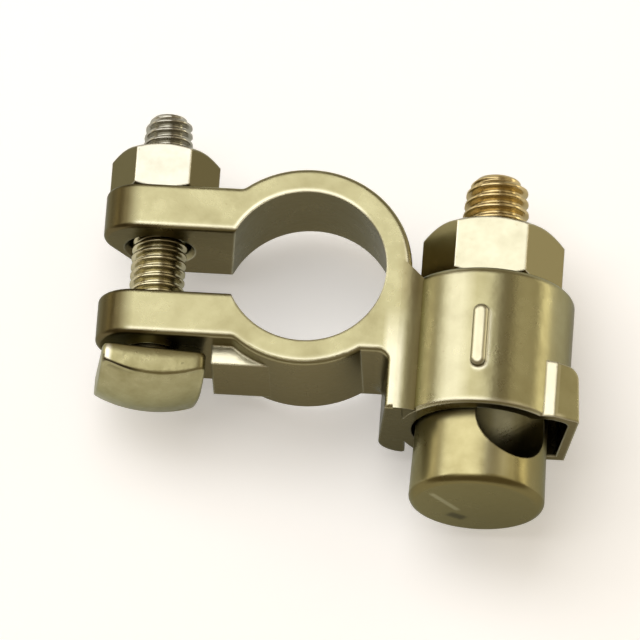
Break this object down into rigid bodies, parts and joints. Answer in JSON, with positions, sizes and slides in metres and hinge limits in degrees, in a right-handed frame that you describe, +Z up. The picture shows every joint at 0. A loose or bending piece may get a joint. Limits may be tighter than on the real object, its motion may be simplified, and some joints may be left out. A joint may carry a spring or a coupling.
{
  "type": "battery terminal clamp",
  "caption": "Cast brass battery post clamp with a square-headed clamping bolt and nut, and a cross-drilled cable stud that a second nut draws up into its cup-shaped cable housing.",
  "frame": {"origin": "on the axis of the tapered post bore, halfway up the clamp", "axes": "+Z runs up the battery post, +X runs from the clamping ears to the cable housing, and +Y is the way both threaded ends point"},
  "size_m": [0.0519, 0.0423, 0.0187],
  "materials": {
    "casting": "tumbled, fine-grained",
    "clamp_bolt": "rolled thread, plated end",
    "clamp_nut": "turned",
    "cable_stud": "turned, rolled thread",
    "cable_nut": "turned"
  },
  "bodies": {
    "clamp": {"clamp_body": "casting"},
    "clamp_bolt": {"clamp_bolt": "clamp_bolt"},
    "clamp_nut": {"clamp_nut": "clamp_nut"},
    "cable_stud": {"cable_stud": "cable_stud"},
    "cable_nut": {"cable_nut": "cable_nut"}
  },
  "joints": [
    {"name": "clamp_bolt_slide", "type": "slide", "parent": "clamp", "child": "clamp_bolt", "axis": [0, 1, 0], "range_m": [-0.0046, 0.00125]},
    {"name": "clamp_nut_spin", "type": "hinge", "parent": "clamp", "child": "clamp_nut", "pos_m": [-0.016, 0.0086, 0], "axis": [0, -1, 0], "range_deg": [-1657, 451]},
    {"name": "cable_stud_slide", "type": "slide", "parent": "clamp", "child": "cable_stud", "axis": [0, 1, 0], "range_m": [-0.0064, 0.008]},
    {"name": "cable_nut_spin", "type": "hinge", "parent": "clamp", "child": "cable_nut", "pos_m": [0.0194, 0, 0], "axis": [0, -1, 0], "range_deg": [-1844, 2305]}
  ],
  "couplings": [
    {"joint": "clamp_nut_spin", "follows": "clamp_bolt_slide", "rad_per_m": 6283.2},
    {"joint": "cable_nut_spin", "follows": "cable_stud_slide", "rad_per_m": 5026.5}
  ]
}
